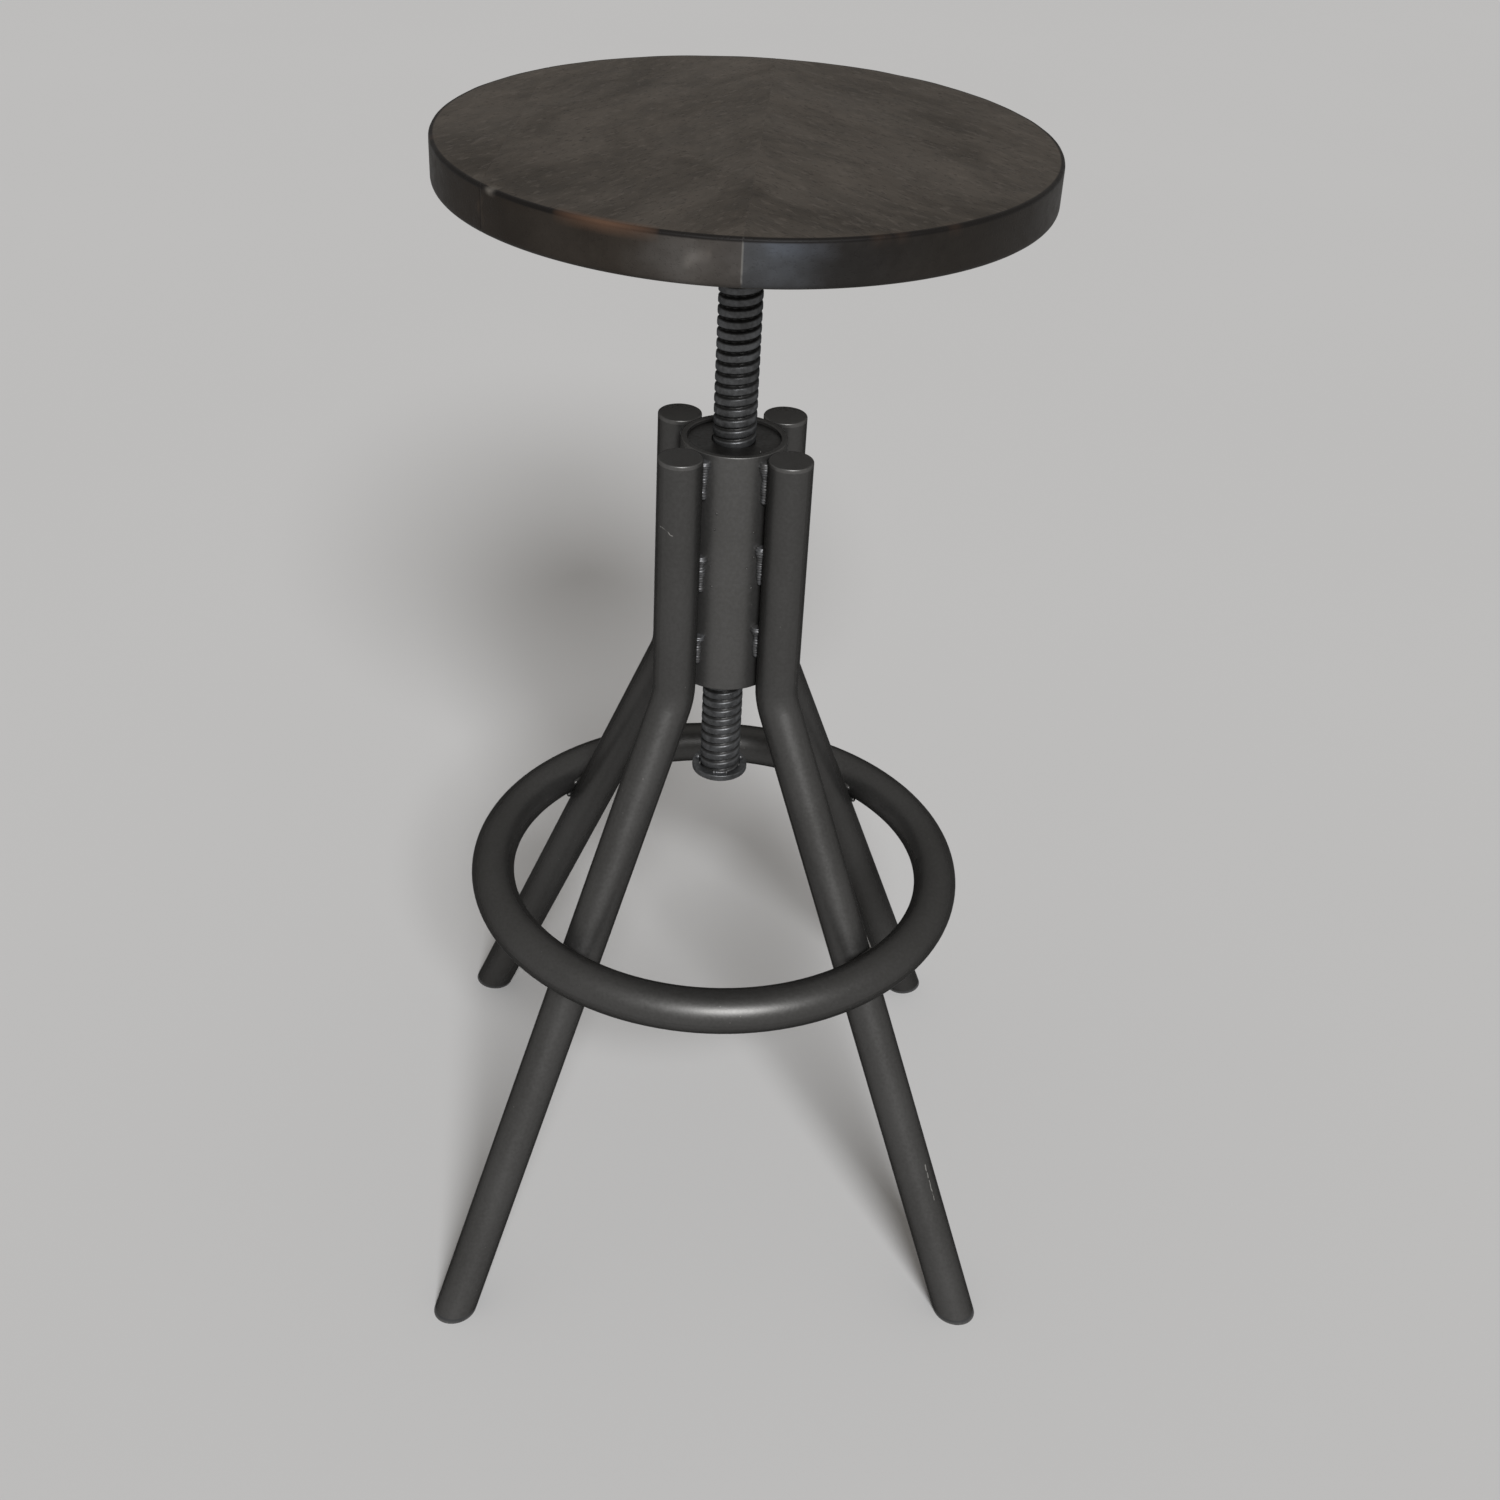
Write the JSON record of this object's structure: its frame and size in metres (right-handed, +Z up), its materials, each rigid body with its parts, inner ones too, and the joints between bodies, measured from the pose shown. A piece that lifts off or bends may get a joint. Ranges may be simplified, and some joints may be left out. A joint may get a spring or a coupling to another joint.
{
  "type": "adjustable screw stool",
  "caption": "Round wooden stool seat on a coarse screw spindle in a hub, carried by bent and splayed steel tube legs with a foot ring; turning the seat raises or lowers it.",
  "frame": {"origin": "on the floor under the middle of the seat, at the bottom centre of the bounding box", "axes": "+Z up along the screw, -Y towards the viewer, legs on the four diagonals"},
  "size_m": [0.3506, 0.3506, 0.708],
  "materials": {
    "seat_wood": "dark stained and waxed, satin",
    "frame_paint": "dark gunmetal satin",
    "spindle_steel": "blackened and oiled",
    "weld_metal": "weld beads under the frame's finish",
    "screw_steel": "zinc plated",
    "foot_plastic": "black moulded"
  },
  "bodies": {
    "frame": {"hub_tube": "frame_paint", "upper_nut": "spindle_steel", "lower_nut": "spindle_steel", "foot_ring": "frame_paint", "hub_welds": "weld_metal", "ring_welds": "weld_metal", "leg_front_left": "frame_paint", "leg_cap_front_left": "frame_paint", "foot_plug_front_left": "foot_plastic", "leg_front_right": "frame_paint", "leg_cap_front_right": "frame_paint", "foot_plug_front_right": "foot_plastic", "leg_back_left": "frame_paint", "leg_cap_back_left": "frame_paint", "foot_plug_back_left": "foot_plastic", "leg_back_right": "frame_paint", "leg_cap_back_right": "frame_paint", "foot_plug_back_right": "foot_plastic"},
    "stop": {"stop_washer": "spindle_steel", "stop_welds": "weld_metal"},
    "seat": {"seat_plank_left": "seat_wood", "seat_plank_middle": "seat_wood", "seat_plank_right": "seat_wood", "seat_plate": "frame_paint", "seat_screws": "screw_steel", "spindle": "spindle_steel", "spindle_weld": "frame_paint"}
  },
  "joints": [
    {"name": "seat_lift", "type": "slide", "parent": "frame", "child": "stop", "axis": [0, 0, 1], "range_m": [-0.1334, 0.0699]},
    {"name": "seat_turn", "type": "hinge", "parent": "stop", "child": "seat", "pos_m": [0, 0, 0.5], "axis": [0, 0, 1], "range_deg": [-7560, 3960]}
  ],
  "couplings": [
    {"joint": "seat_lift", "follows": "seat_turn", "m_per_rad": 0.0010106}
  ]
}
